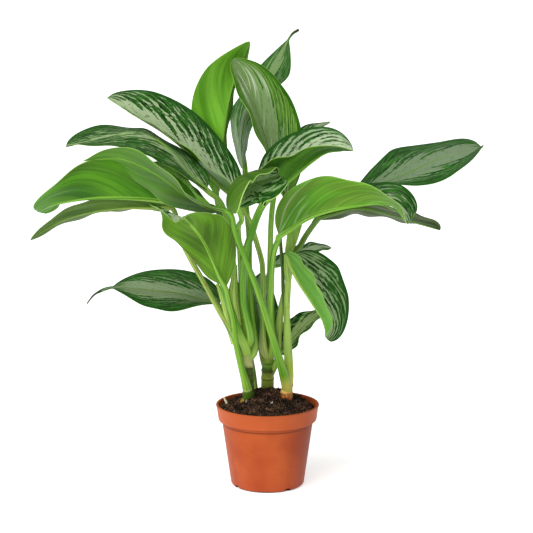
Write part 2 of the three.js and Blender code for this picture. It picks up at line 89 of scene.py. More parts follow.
STALK_TAPER_END = 0.7
STALK_FLARE = 1.7
FLARE_PLACE, FLARE_REACH = 14, 24
SHEATH_DEPTH = 0.8  # as a share of its width
MIDRIB_END = 0.9  # share of the rib where the raised midrib ends
MIDRIB_STOPS = (0, 0.15, 0.3, 0.45, 0.6, 0.75, MIDRIB_END)
MIDRIB_TIP_RADIUS = 0.45
MIDRIB_SINK = 0.75  # how far it lies under the blade, as a share of its radius
HIGH_RING, FAINT = 200, 0.3  # rings above this height hardly show
RING_SWELL, RING_REACH = 0.9, 1.6

# ---- light and camera

WORLD_LIGHT = 0.4
SUN_LIGHT = 2.3
SUN_RAYS = (0.6, 0.7, -0.9)
SUN_SOFTNESS = 60  # degrees
FLOOR_GLOW = 0.55
FLOOR_RADIUS = 90000
CAMERA_AIM = Vector((-0.0015, 0, 0.3225))
CAMERA_FAR = 2.6
CAMERA_TILT = math.radians(10.3)
CAMERA_LENS, CAMERA_SENSOR = 122.3, 36

# ---- the plant, in millimetres
#
# Points are x, y and z. A cane has rings at these heights, and its colours change from the foot up at its stops, by
# height in metres. A leaf's heading, in degrees, is the way its blade points, left and right are the angles of its
# two halves at foot, middle and tip, and shape is its fullness towards foot and tip. spread widens each half at foot,
# middle and tip, curl rolls the halves, and tail is the share of the blade that is a thread. wave, sweep, quilt and
# flare replace the usual EDGE_WAVE, VEIN_SWEEP, FINE_QUILT and STALK_FLARE. top, under and skin are what leaf_top,
# leaf_under and stalk_look are given. The solids in part.mjs have the same axes, stalks, ribs, angles and outlines.

CANES = [
  dict(name="cane_left", radii=(8.4, 8.6, 7.4, 6.4, 5.8, 4.8), rings=(132, 143, 153, 163, 172),
       axis=((-28, 11, 84), (-28, 10, 132), (-28, 10, 160), (-28, 10, 180), (-31, 9, 212), (-35, 8, 250)),
       stops=((0.1, (150, 128, 48)), (0.12, (62, 100, 34)), (0.14, (56, 84, 24)), (0.17, (70, 94, 28)),
              (0.176, (184, 184, 120)), (0.2, (150, 182, 84)), (0.25, (110, 160, 44)))),
  dict(name="cane_centre", radii=(9.4, 9.4, 8.2, 6), rings=(147, 159, 171, 186),
       axis=((0, 46, 84), (0, 45, 140), (1, 45, 190), (1, 46, 240)),
       stops=((0.125, (160, 134, 36)), (0.134, (104, 118, 34)), (0.15, (134, 150, 52)), (0.16, (54, 74, 20)),
              (0.168, (100, 146, 38)), (0.186, (168, 178, 84)), (0.2, (120, 166, 50)), (0.24, (136, 176, 64)))),
  dict(name="cane_right", radii=(8.6, 8.6, 6.9, 5.8, 4.4, 4.6, 5, 8, 10), rings=(134, 146, 262), scraps=0.85,
       axis=((29, 11, 84), (28, 10, 132), (31, 10, 163), (29, 10, 215), (28, 10, 257), (30, 9, 303), (30, 8, 338),
             (35, 8, 360), (40, 8, 384)),
       stops=((0.12, (150, 84, 40)), (0.129, (206, 136, 66)), (0.137, (232, 186, 104)), (0.15, (206, 190, 98)),
              (0.165, (164, 186, 66)), (0.2, (150, 184, 84)), (0.3, (164, 194, 92)), (0.38, (126, 168, 66)))),
]

LEAVES = [
  dict(name="leaf_upper_left", heading=180, half_width=53, left=(24, 9, 12), right=(74, 78, 60), shape=(0.42, 0.64),
       stalk_radius=(3.8, 4.5), spread=((1.1, 0.72, 1), (0.87, 0.94, 1.42)),
       stalk=((-1, 42, 180), (-6, 32, 200), (-7, 30, 253), (-6, 35, 284), (-7, 38, 307), (-9, 38, 326),
              (-20, 36, 365), (-29, 35, 389)),
       rib=((-46, 35, 415), (-94, 38, 463), (-139, 38, 504), (-195, 34, 539), (-230, 38, 561)),
       top=dict(bands=1.3, start=0.04, flecks=0.8, tint=(0.98, 0.99, 0.95)),
       skin=dict(top=(112, 152, 56), foot=(176, 178, 112), pale=0.7)),
  dict(name="leaf_left", heading=180, half_width=47, left=(10, -26, 19), right=(47, -1, 58), shape=(0.42, 0.64),
       spread=((0.98, 0.99, 0.98), (0.93, 1.21, 1.13)), sweep=0.8,
       stalk=((-32, 12, 206), (-38, 17, 224), (-46, 21, 262), (-52, 18, 346), (-64, -4, 410)),
       rib=((-86, -26, 437), (-107, -30, 459), (-137, -23, 494), (-188, -28, 518), (-284, -20, 497)),
       top=dict(bands=1.5, start=-0.08, flecks=0.8, tint=(0.86, 0.9, 0.8)),
       under=dict(bright=(58, 106, 22), shade=(38, 76, 14), olive_share=0.3),
       skin=dict(top=(100, 162, 40), foot=(170, 196, 100), pale=0.5)),
  dict(name="leaf_left_front", heading=180, half_width=50, left=(-5, 20, 55), right=(-25, -40, 5), shape=(1.1, 1.25),
       stalk_radius=(4, 6.2),
       stalk=((29, 9, 138), (25, 0, 159), (7, -22, 224), (-13, -48, 294), (-30, -72, 344), (-45, -90, 388)),
       rib=((-53, -95, 415), (-99, -92, 433), (-152, -90, 468), (-203, -90, 489), (-252, -90, 486)),
       under=dict(bright=(80, 134, 28), shade=(50, 98, 14), olive_share=0.5),
       skin=dict(top=(92, 152, 20), foot=(216, 206, 96), pale=0.25, reach=40.0)),
  dict(name="leaf_big_left", heading=185, half_width=56, left=(97, 70, 19), right=(60, 30, -25), shape=(0.84, 0.42),
       spread=((1, 1.31, 1.05), (1, 1, 1)), quilt=0.6,
       sheath=dict(axis=((-40, 4, 210), (-44, 1, 244), (-48, -1, 270), (-49, -1, 288), (-47, 0, 309), (-45, 1, 325)),
                   radii=(4, 6, 6.8, 7.2, 4, 1.2)),
       stalk=((-29, 9, 192), (-33, 4, 206), (-45, -2, 238), (-62, -10, 290), (-78, -19, 364)),
       rib=((-90, -22, 403), (-142, -25, 421), (-228, -29, 426), (-293, -38, 419), (-323, -35, 407)),
       under=dict(bright=(84, 150, 18), shade=(44, 98, 6), olive_share=0.3, painted_fold_shade=0.6)),
  dict(name="leaf_low_left", heading=180, half_width=31, left=(85, 45, 30), right=(-25, -15, -30), shape=(0.55, 0.8),
       stalk_radius=(3.8, 5.2),
       sheath=dict(axis=((-49, 12, 206), (-56, 13, 235), (-60, 13, 256), (-66, 13, 277), (-73, 13, 295)),
                   radii=(4, 5, 5.4, 4.4, 2)),
       stalk=((-29, 10, 150), (-34, 12, 168), (-43, 12, 199), (-56, 13, 230), (-72, 14, 259), (-91, 16, 294),
              (-116, 19, 339), (-129, 22, 372)),
       rib=((-137, 24, 403), (-191, 26, 406), (-254, 26, 398), (-306, 24, 381), (-342, 20, 358)),
       under=dict(bright=(80, 112, 38), shade=(52, 84, 22), olive_share=0.5, rim=0.2),
       skin=dict(top=(124, 158, 66), foot=(150, 160, 90), pale=0.6, marks=0.5)),
  dict(name="leaf_front", heading=225, half_width=55, left=(38, 52, 11), right=(-8, -50, 50), shape=(0.92, 0.51),
       wave=(4.1, 3.04, 2.22), stalk_radius=(3.6, 5.6), spread=((1.06, 0.84, 0.55), (1.14, 0.54, 1.52)), quilt=1.0,
       stalk=((-28, 9, 124), (-30, 1, 144), (-38, -4, 176), (-45, -11, 210), (-49, -21, 247), (-56, -31, 281)),
       rib=((-60, -39, 300), (-84, -68, 360), (-103, -105, 397), (-116, -120, 412), (-125, -140, 408)),
       under=dict(bright=(96, 146, 26), shade=(60, 98, 15), olive_share=0.7, painted_fold_shade=0.4),
       skin=dict(top=(100, 160, 20), foot=(120, 174, 34), pale=0.3, base=(84, 124, 34))),
  dict(name="leaf_low_behind", heading=180, half_width=46, left=(17, -36, 3), right=(58, 75, 24), shape=(0.48, 0.9),
       least_half_width=2.4, tail=0.24, stalk_radius=(2.6, 3.2), spread=((1.06, 0.87, 0.88), (0.8, 0.79, 1.42)),
       sweep=0.75, flare=0,
       stalk=((-16, 60, 104), (-18, 60, 134), (-23, 62, 168), (-31, 66, 193), (-55, 70, 232)),
       rib=((-71, 72, 251), (-121, 77, 266), (-166, 88, 270), (-229, 97, 273), (-256, 102, 263), (-271, 106, 246)),
       top=dict(silver=0.7, bands=1.2, start=0.18, lines=0.3, outer=1.0, tint=(0.79, 0.81, 0.77), tail=0.8),
       under=dict(rim=0.0, tail=0.8),
       skin=dict(top=(70, 104, 40), foot=(140, 172, 60), pale=0.3)),
  dict(name="leaf_top_left", heading=-90, half_width=52, left=(66, 85, 71), right=(30, 10, -46), shape=(0.9, 0.76),
       stalk=((-26, 11, 160), (-28, 20, 178), (-37, 31, 224), (-47, 41, 290), (-61, 49, 355)),
       rib=((-74, 51, 417), (-67, 57, 484), (-55, 62, 558), (-42, 64, 599), (-26, 65, 640)),
       under=dict(bright=(124, 192, 52), shade=(86, 152, 24), olive_share=0.0, streaks=0.55, painted_fold_shade=0.3)),
  dict(name="leaf_top_centre", heading=100, half_width=53, left=(68, 69, 37), right=(19, 10, 59), shape=(0.59, 0.63),
       stalk_radius=(2.4, 3), sweep=1.0,
       stalk=((28, 10, 228), (28, 15, 244), (23, 16, 281), (22, 19, 313), (20, 21, 338), (17, 24, 377), (15, 25, 398)),
       rib=((24, 25, 419), (4, 33, 479), (-16, 40, 546), (-30, 44, 585), (-49, 47, 617)),
       top=dict(silver=0.3, bands=1.25, start=0.3, lines=0.2, flecks=0.4, outer=1.0, lean=(-0.35, 0.0),
                outside=(96, 160, 40), stripes=0.5, painted_sheen=0.7, green=(98, 134, 66), tint=(0.93, 0.95, 0.88),
                deep=((22, 76, 8), (78, 140, 26))),
       skin=dict(top=(48, 88, 24), foot=(96, 132, 50), pale=0.15)),
  dict(name="leaf_centre_right", heading=0, half_width=50, left=(60, 80, 43), right=(85, 41, 22), shape=(0.52, 0.7),
       stalk_radius=(5.2, 4.6), sweep=0.8,
       stalk=((-27, 8, 206), (-25, 1, 222), (-34, -6, 268), (-35, -17, 308), (-30, -32, 351), (-23, -37, 375),
              (-15, -42, 401)),
       rib=((-5, -45, 421), (13, -50, 441), (52, -63, 475), (83, -76, 496), (117, -92, 500)),
       top=dict(bands=0.68, start=0.09),
       under=dict(bright=(60, 112, 20), shade=(34, 78, 10), olive_share=0.1),
       skin=dict(top=(82, 148, 26), foot=(128, 176, 64), pale=0.3)),
  dict(name="leaf_folded", heading=47, half_width=52, left=(125, 150, 120), right=(6, -7, -1), shape=(0.5, 0.63),
       curl=(147, 0), stalk_radius=(3.7, 5.2), spread=((1.55, 0.83, 0.73), (0.94, 1.15, 1.19)), flare=0,
       stalk=((-35, 8, 246), (-37, 3, 290), (-38, -7, 320), (-39, -22, 346), (-41, -55, 387), (-36, -78, 403)),
       rib=((-41, -100, 424), (-42, -102, 439), (-30, -95, 451), (-3, -89, 460), (15, -77, 464)),
       top=dict(rim=1.0, green=(104, 148, 70), tint=(0.86, 0.96, 0.78)),
       under=dict(bright=(66, 119, 18), shade=(44, 86, 10), olive_share=0.4, rim=1.0),
       skin=dict(top=(98, 160, 34), foot=(130, 182, 64), pale=0.35)),
  dict(name="leaf_right", heading=0, half_width=52, left=(56, 21, 74), right=(120, 63, 1), shape=(0.44, 0.46),
       stalk_radius=(4.2, 5.4), quilt=0.5,
       stalk=((4, 43, 180), (8, 34, 200), (5, 22, 254), (5, 7, 290), (6, -8, 320), (9, -23, 348), (15, -37, 367)),
       rib=((17, -50, 375), (52, -56, 401), (101, -61, 416), (168, -67, 421), (194, -76, 396)),
       top=dict(bands=1.35, start=0.0, tint=(0.82, 0.85, 0.8)),
       under=dict(bright=(108, 178, 40), shade=(70, 130, 16), olive_share=0.7, streaks=0.3, painted_sheen=0.4),
       skin=dict(top=(96, 164, 32), foot=(146, 188, 76), pale=0.5)),
  dict(name="leaf_torn", heading=0, half_width=38, left=(-35, -20, -5), right=(60, 25, 45), shape=(0.65, 0.6),
       least_half_width=3, stalk_radius=(3.6, 4), flare=0.5,
       stalk=((30, 8, 318), (33, 10, 335), (48, 14, 352), (56, 18, 365), (65, 22, 378)),
       rib=((73, 24, 389), (112, 26, 402), (148, 28, 402), (199, 30, 386), (250, 32, 370)),
       top=dict(silver=0.1, tint=(0.52, 0.52, 0.38), lines=0.1, deep=((10, 34, 6), (48, 84, 24))),
       under=dict(bright=(48, 68, 14), shade=(28, 44, 8), olive=(58, 68, 24), olive_share=0.5, rim=0.0),
       skin=dict(top=(72, 118, 26), foot=(96, 128, 44), pale=0.3)),
  dict(name="leaf_far_right", heading=0, half_width=55, left=(79, 26, 12), right=(53, -23, 20), shape=(1.03, 0.36),
       stalk_radius=(4.1, 4), wave=(3.9, 2.06, 1.41), spread=((0.98, 1.43, 1.04), (0.87, 1.06, 1.22)), sweep=0.8,
       flare=0.5,
       stalk=((30, 9, 300), (33, 16, 318), (43, 26, 338), (53, 37, 357), (74, 44, 385), (96, 49, 404)),
       rib=((118, 51, 417), (156, 56, 430), (199, 63, 447), (253, 79, 469), (315, 86, 484)),
       top=dict(silver=0.6, bands=1.32, start=0.18, lines=0.3, outer=1.0, tint=(0.75, 0.78, 0.76)),
       under=dict(rim=0.0),
       skin=dict(top=(78, 128, 30), foot=(96, 128, 44), pale=0.3)),
  dict(name="leaf_top_back", heading=60, half_width=55, left=(-59, -34, -21), right=(53, 37, 6), shape=(0.77, 1.03),
       least_half_width=2.2, tail=0.1, spread=((1.19, 1.51, 0.84), (0.85, 1.17, 1.05)), sweep=0.7,
       stalk=((-28, 11, 184), (-20, 17, 200), (-25, 26, 262), (-27, 36, 322), (-27, 55, 358), (-32, 72, 409)),
       rib=((-33, 85, 450), (-38, 95, 476), (-31, 101, 525), (10, 127, 592), (32, 134, 641), (46, 129, 654)),
       top=dict(silver=0.9, bands=1.35, start=0.05, tint=(0.68, 0.75, 0.6), lean=(-0.45, -0.4), tail=0.9,
                deep=((12, 56, 10), (64, 128, 40))),
       under=dict(rim=0.1, tail=0.9)),
  dict(name="leaf_behind_right", heading=15, half_width=28, left=(41, 31, 11), right=(7, -4, -3), shape=(0.65, 0.87),
       stalk_radius=(4, 4.4),
       stalk=((1, 46, 196), (3, 53, 214), (3, 54, 278), (4, 57, 337), (5, 60, 374), (8, 65, 406)),
       rib=((14, 73, 434), (28, 87, 464), (48, 98, 490), (71, 108, 510), (93, 117, 519)),
       skin=dict(top=(116, 170, 52), foot=(150, 186, 84), pale=0.5)),
  dict(name="leaf_drooping", heading=0, half_width=53, left=(77, 63, 28), right=(19, 27, 32), shape=(0.34, 0.52),
       stalk_radius=(3.6, 4), spread=((1.07, 1.08, 0.74), (0.82, 1.04, 0.46)), sweep=1.15, flare=0,
       stalk=((29, 8, 302), (27, 4, 318), (27, -3, 334)),
       rib=((28, -14, 341), (46, -34, 306), (65, -53, 277), (79, -82, 256), (80, -107, 243)),
       top=dict(silver=0.8, bands=0.95, start=0.05, tint=(0.92, 0.95, 0.88)),
       under=dict(bright=(114, 168, 72), shade=(92, 150, 54), olive_share=0.0),
       skin=dict(top=(146, 180, 80), foot=(150, 184, 84), pale=0.3)),
  dict(name="leaf_back_right", heading=10, half_width=25, left=(46, 15, 22), right=(15, -3, -21), shape=(0.76, 0.93),
       stalk_radius=(2.8, 3.4),
       stalk=((0, 46, 176), (-3, 54, 195), (-7, 60, 225), (-5, 69, 261), (-2, 75, 286)),
       rib=((6, 85, 305), (26, 90, 313), (54, 91, 328), (76, 93, 335), (95, 99, 333))),
  dict(name="leaf_low_right", heading=0, half_width=30, left=(63, 37, 2), right=(-34, -5, -39), shape=(0.66, 1.16),
       stalk_radius=(2.8, 3.4), stalk=((6, 45, 154), (13, 42, 172)),
       sheath=dict(axis=((18, 42, 191), (17, 40, 208), (17, 38, 227), (19, 36, 251), (21, 34, 275)),
                   radii=(3, 4.2, 5.8, 4.5, 1.2)),
       rib=((17, 43, 184), (35, 47, 204), (57, 49, 228), (79, 53, 245), (97, 60, 252)),
       top=dict(tint=(0.95, 0.97, 0.8))),
  dict(name="leaf_low_back", heading=90, half_width=28, left=(19, 17, 23), right=(21, 19, 21), shape=(0.6, 0.84),
       stalk_radius=(2.6, 3),
       stalk=((0, 46, 146), (-2, 55, 162), (-3, 62, 176)),
       rib=((-6, 69, 191), (-9, 82, 217), (-12, 95, 247), (-12, 107, 268), (-8, 120, 292)),
       top=dict(silver=0.6, tint=(0.82, 0.86, 0.8))),
  dict(name="leaf_small_left", heading=180, half_width=25, left=(20, 40, 45), right=(30, 30, 30), shape=(1, 0.8),
       stalk_radius=(4, 5.4),
       stalk=((-1, 46, 162), (-6, 45, 184), (-18, 45, 243), (-30, 45, 297), (-44, 40, 352), (-60, 28, 385)),
       rib=((-79, 18, 406), (-104, 14, 420), (-128, 15, 438), (-153, 15, 457), (-179, 14, 470)),
       top=dict(silver=0.2, bands=0.7, green=(104, 160, 56), deep=((56, 116, 20), (110, 170, 52))),
       under=dict(bright=(124, 184, 58), shade=(88, 150, 34), olive_share=0.1),
       skin=dict(top=(58, 104, 20), foot=(120, 130, 40), pale=0.15)),
]

PALE_ROOT = dict(axis=((-54, 8, 100), (-57, 11, 112), (-61, 15, 119), (-64, 19, 124)), radii=(0.9, 1.5, 1.7, 1.1))


# ---- curves and meshes

class Curve:
    """A uniform Catmull-Rom curve through points, read by the share of its length."""

    SPAN_STEPS = 48
    TANGENT_REACH = 2.5

    def __init__(self, points):
        p = np.array(points, float)
        p = np.vstack([2 * p[0] - p[1], p, 2 * p[-1] - p[-2]])
        u = np.linspace(0, 1, self.SPAN_STEPS, endpoint=False)[:, None]
        rows = []
        for i in range(1, len(p) - 2):
            a, b = (p[i + 1] - p[i - 1]) / 2, (p[i + 2] - p[i]) / 2
            rows.append((2 * u**3 - 3 * u**2 + 1) * p[i] + (u**3 - 2 * u**2 + u) * a
                        + (3 * u**2 - 2 * u**3) * p[i + 1] + (u**3 - u**2) * b)
        self.dense = np.vstack([*rows, p[-2][None]])
        self.run = np.r_[0, np.cumsum(np.linalg.norm(np.diff(self.dense, axis=0), axis=1))]
        self.length = self.run[-1]

    def at(self, t):
        t = np.asarray(t, float) * self.length
        return np.stack([np.interp(t, self.run, self.dense[:, k]) for k in range(3)], -1)

    def tangent(self, t):
        t = np.asarray(t, float)
        step = self.TANGENT_REACH / self.length
        return unit(self.at(np.clip(t + step, 0, 1)) - self.at(np.clip(t - step, 0, 1)))


def unit(v):
    return v / np.maximum(np.linalg.norm(v, axis=-1, keepdims=True), 1e-9)


def through(stations, t):
    """A value that passes through its three stations at the start, the middle and the end."""
    a, b, c = stations
    return a * (1 - t) * (1 - 2 * t) + b * 4 * t * (1 - t) + c * t * (2 * t - 1)


def between(value, start, end):
    """0 up to the start, 1 from the end on, and an even rise between them."""
    return np.clip((value - start) / (end - start), 0, 1)


def turned(points, angle):
    """Points turned about the upright axis."""
    c, s = math.cos(angle), math.sin(angle)
    return points @ np.array([[c, -s, 0], [s, c, 0], [0, 0, 1]]).T


def make_mesh(name, points, faces, materials, slots=None, uvs=None, sharp=50, smooth=True):
    """An object from points in millimetres, with uv values for each point."""
    mesh = bpy.data.meshes.new(name)
    mesh.from_pydata([tuple(p) for p in np.asarray(points) * MM], [], faces)
    for material in materials:
        mesh.materials.append(material)
    if slots is not None:
        mesh.polygons.foreach_set("material_index", slots)
    mesh.polygons.foreach_set("use_smooth", [smooth] * len(mesh.polygons))
    corner = np.zeros(len(mesh.loops), int)
    mesh.loops.foreach_get("vertex_index", corner)
    for key, values in (uvs or {}).items():
        layer = mesh.uv_layers.new(name=key)
        layer.data.foreach_set("uv", np.asarray(values, float)[corner].ravel())
    mesh.validate()
    if sharp:
        mesh.set_sharp_from_angle(angle=math.radians(sharp))
    piece = bpy.data.objects.new(name, mesh)
    bpy.context.scene.collection.objects.link(piece)
    return piece


def grid_faces(rows, columns, start=0, flipped=False, wrap=False):
    """The four-sided faces between rows of points."""
    faces = []
    for i in range(rows - 1):
        for j in range(columns if wrap else columns - 1):
            a, b = start + i * columns + j, start + i * columns + (j + 1) % columns
            c, d = a + columns, b + columns
            faces.append((a, b, d, c) if flipped else (a, c, d, b))
    return faces


def caps(first, last, sides):
    """The flat faces that close rings, by the numbers of the first and the last ring."""
    return [tuple(first * sides + k for k in range(sides)), tuple(last * sides + k for k in reversed(range(sides)))]


def circle(sides):
    """The angles of the points round a ring."""
    return 2 * np.pi * np.arange(sides) / sides


def level_ring(radius, z, sides):
    angle = circle(sides)
    return np.stack([radius * np.cos(angle), radius * np.sin(angle), np.full(sides, z)], -1)


def tube(curve, radius_at, sides, steps, offset=None, squeeze=None):
    """Rings along a curve: points, faces and (length along in mm, side) for each point."""
    t = np.linspace(0, 1, steps + 1)
    centre, ahead = curve.at(t), curve.tangent(t)
    if offset is not None:
        centre = centre + offset(t)
    first = unit(np.cross(ahead, (0.0, 1.0, 0.0)) + 1e-6)
    second = np.cross(ahead, first)
    radius = np.array([radius_at(x) for x in t])
    deep = np.ones(len(t)) if squeeze is None else np.array([squeeze(x) for x in t])
    angle = circle(sides)
    ring = (first[:, None] * np.cos(angle)[None, :, None]
            + second[:, None] * np.sin(angle)[None, :, None] * deep[:, None, None])
    points = centre[:, None] + ring * radius[:, None, None]
    uv = np.stack([np.repeat(t[:, None] * curve.length, sides, 1),
                   np.repeat(np.cos(angle)[None], len(t), 0)], -1)
    faces = grid_faces(steps + 1, sides, flipped=True, wrap=True) + caps(0, steps, sides)
    return points.reshape(-1, 3), faces, uv.reshape(-1, 2)


def taper_tube(taper, sides, steps, squeeze=None):
    """A tube whose radius follows its height, swollen at its rings."""
    curve = Curve(taper["axis"])
    levels, radii = [p[2] for p in taper["axis"]], taper["radii"]

    def radius_at(x):
        z = curve.at(x)[2]
        swell = sum(RING_SWELL * (FAINT if ring > HIGH_RING else 1) * math.exp(-((z - ring) / RING_REACH) ** 2)
                    for ring in taper.get("rings", ()))
        return float(np.interp(z, levels, radii)) + swell

    return tube(curve, radius_at, sides, steps, squeeze=squeeze)


def noise2(x, y, seed=0):
    """Smooth value noise between -1 and 1."""
    def corner(i, j):
        h = np.sin(i * 127.1 + j * 311.7 + seed * 74.7) * 43758.5453
        return 2 * (h - np.floor(h)) - 1
    i, j = np.floor(x), np.floor(y)
    u, v = x - i, y - j
    u, v = u * u * (3 - 2 * u), v * v * (3 - 2 * v)
    low = corner(i, j) * (1 - u) + corner(i + 1, j) * u
    high = corner(i, j + 1) * (1 - u) + corner(i + 1, j + 1) * u
    return low * (1 - v) + high * v


# ---- materials

def srgb(r, g, b):
    values = [c / 255 for c in (r, g, b)]
    return (*[c / 12.92 if c <= 0.04045 else ((c + 0.055) / 1.055) ** 2.4 for c in values], 1.0)


DEAD_TAIL = (50, 64, 28)


class Look:
    """A procedural material, built node by node."""

    def __init__(self, name):
        self.material = bpy.data.materials.new(name)
        self.material.use_nodes = True
        self.tree = self.material.node_tree
        self.shader = self.tree.nodes["Principled BSDF"]

    def put(self, value, socket):
        """Sockets are linked, colours of three values from 0 to 255 are made linear, and the rest is set as it is."""
        if isinstance(value, bpy.types.NodeSocket):
            self.tree.links.new(value, socket)
        else:
            socket.default_value = srgb(*value) if isinstance(value, tuple) and len(value) == 3 else value

    def node(self, kind, inputs=(), out=0, **settings):
        made = self.tree.nodes.new(kind)
        for key, value in settings.items():
            setattr(made, key, value)
        for key, value in inputs:
            self.put(value, made.inputs[key])
        return made.outputs[out]

    def maths(self, operation, a, b=0.0):
        return self.node("ShaderNodeMath", [(0, a), (1, b)], operation=operation)

    def plus(self, a, b):
        return self.maths("ADD", a, b)

    def minus(self, a, b):
        return self.maths("SUBTRACT", a, b)

    def times(self, a, b):
        return self.maths("MULTIPLY", a, b)

    def apart(self, a, b):
        return self.maths("ABSOLUTE", self.minus(a, b))

    def mix(self, factor, a, b):
        return self.node("ShaderNodeMix", [(0, factor), (6, a), (7, b)], out=2, data_type="RGBA")

    def paint(self, colour, share, over, strength=1.0):
        """One colour laid over another where share says."""
        return self.mix(share if strength == 1.0 else self.times(share, strength), colour, over)

    def step(self, value, low, high):
        return self.node("ShaderNodeMapRange", [(0, value), (1, low), (2, high), (3, 0.0), (4, 1.0)],
                         interpolation_type="SMOOTHSTEP")

    def vector(self, x, y, z=0.0):
        return self.node("ShaderNodeCombineXYZ", [(0, x), (1, y), (2, z)])

    def parts(self, vector):
        return self.node("ShaderNodeSeparateXYZ", [(0, vector)]).node.outputs[:]

    def uv(self, name):
        x, y, _ = self.parts(self.node("ShaderNodeUVMap", uv_map=name))
        return x, y

    def place(self):
        return self.node("ShaderNodeTexCoord", out=3)

    def noise(self, vector, scale, detail=2.0, roughness=0.5):
        return self.node("ShaderNodeTexNoise", [("Vector", vector), ("Scale", scale), ("Detail", detail),
                                                ("Roughness", roughness)])

    def streaks(self, a, b, stretch, z=0.0, detail=2.0):
        """Noise over two values, each with a scale of its own."""
        return self.noise(self.vector(self.times(a, stretch[0]), self.times(b, stretch[1]), z), 1.0, detail)

    def grain(self, scales, detail):
        """Noise in the object's space, with a scale for each axis."""
        parts = self.parts(self.place())
        return self.noise(self.vector(*[self.times(part, scale) for part, scale in zip(parts, scales)]), 1.0, detail)

    def ramp(self, factor, stops):
        made = self.node("ShaderNodeValToRGB", [(0, factor)])
        points = made.node.color_ramp.elements
        while len(points) < len(stops):
            points.new(0.5)
        for point, (where, colour) in zip(points, stops):
            point.position, point.color = where, srgb(*colour)
        return made

    def finish(self, colour, roughness, bump=None, strength=0, distance=0, **sockets):
        if bump is not None:
            sockets["Normal"] = self.node("ShaderNodeBump", [("Strength", strength), ("Distance", distance),
                                                             ("Height", bump)])
        for key, value in {"Base_Color": colour, "Roughness": roughness, **sockets}.items():
            self.put(value, self.shader.inputs[key.replace("_", " ")])
        return self.material


def leaf_top(name, seed, silver=1.0, bands=1.0, start=0.12, lines=0.5, flecks=0.6, tint=(1, 1, 1), outer=0.5,
             lean=(0, 0), green=(96, 130, 74), deep=((6, 42, 8), (58, 122, 36)), rim=0.0, tail=None,
             outside=(84, 132, 64), stripes=0.0, painted_sheen=0.0):
    """Silver by the midrib, dark toothed bands that run out along the veins, and a dark margin."""
    look = Look(name)
    plus, minus, times, step, paint = look.plus, look.minus, look.times, look.step, look.paint
    q, r = look.uv("vein")
    t, across = look.uv("leaf")
    band = plus(times(q, 1 / VEINS_PER_BAND), seed * 7.3)

    def patches(along, out, z=0.0, detail=1.0):
        return look.streaks(band, r, (along, out), z, detail)

    def centred(value, factor):
        return times(minus(value, 0.5), factor)

    def tinted(*colour):
        return tuple(c * share for c, share in zip(colour, tint))

    # A dark band in each cell, which starts at its own distance from the midrib and has toothed edges.
    bent = plus(band, centred(patches(0.9, 2.6, detail=2.0), 0.9))
    cell = look.maths("FLOOR", bent)
    off = look.apart(minus(bent, cell), 0.5)
    chance = look.node("ShaderNodeTexWhiteNoise", [("W", cell)], noise_dimensions="1D")
    second = look.node("ShaderNodeTexWhiteNoise", [("W", plus(cell, 57.0))], noise_dimensions="1D")
    broad = patches(0.5, 1.2, 2.0)
    tooth = patches(4.5, 36.0, detail=2.0)
    fine = patches(22.0, 8.0, detail=3.0)
    leaning = times(centred(across, 2.0), plus(times(t, lean[1] - lean[0]), lean[0]))
    first = plus(plus(plus(times(chance, 0.3), centred(broad, 0.5)), start), leaning)
    grown = step(plus(r, centred(tooth, 0.1)), first, plus(first, 0.14))
    half = times(times(grown, plus(times(second, 0.16), 0.26)), bands)
    half = times(half, plus(times(step(patches(1.3, 9.0, 5.0), 0.3, 0.6), 0.85), 0.5))
    half = times(half, plus(times(r, 0.8), 0.62))
    streak = step(plus(minus(half, off), centred(tooth, 0.75)), 0.02, 0.06)
    streak = times(streak, step(patches(3.4, 15.0, 11.0), 0.68, 0.65))
    fleck = times(step(patches(2.4, 20.0, 9.0), 0.63, 0.66), step(r, 0.05, 0.15))
    streak = look.maths("MAXIMUM", streak, times(fleck, flecks))

    pale = look.mix(fine, tinted(146, 174, 122), tinted(214, 226, 196))
    grey = look.mix(fine, tinted(*green), tinted(*[c + 36 for c in green]))
    pale = paint(pale, minus(1.35, times(broad, 0.7)), grey, 1.0 - silver)
    pale = paint(pale, step(r, 0.45, 0.95), tinted(*outside), outer)
    pale = paint(pale, step(patches(13.0, 10.0, 3.0), 0.58, 0.68), (70, 118, 56), 0.45)
    tone = plus(times(patches(3.0, 7.0, 8.0, 2.0), 0.7), times(fine, 0.3))
    dark = look.mix(step(tone, 0.36, 0.66), *deep)
    colour = look.mix(streak, pale, dark)
    colour = paint(colour, step(off, 0.44, 0.5), tinted(186, 206, 158), lines)
    line = times(step(patches(5.0, 1.6, 13.0), 0.5, 0.6), step(r, 0.42, 0.6))
    colour = paint(colour, line, (168, 208, 96), stripes)
    # Painted sheen: pale glossy streaks on the inner half of the blade.
    shine = times(step(patches(1.7, 2.4, 17.0), 0.58, 0.7), step(r, 0.75, 0.45))
    colour = paint(colour, shine, (220, 228, 204), painted_sheen)
    margin = step(plus(r, centred(tooth, 0.14)), 0.89, 0.92)
    colour = look.mix(margin, colour, look.mix(fine, deep[0], tuple(c - 12 for c in deep[1])))
    colour = paint(colour, step(r, 0.98, 0.992), (176, 208, 120), rim)
    colour = paint(colour, step(r, 0.04, 0.015), tinted(160, 190, 116), 0.8)
    if tail:
        colour = paint(colour, step(t, tail, tail + 0.07), DEAD_TAIL)
    vein = look.apart(look.maths("FRACT", q), 0.5)
    height = plus(times(vein, -0.6), times(fine, 0.25))
    return look.finish(colour, plus(times(fine, 0.12), 0.38), height, 0.4, 0.0008, Specular_IOR_Level=0.12)


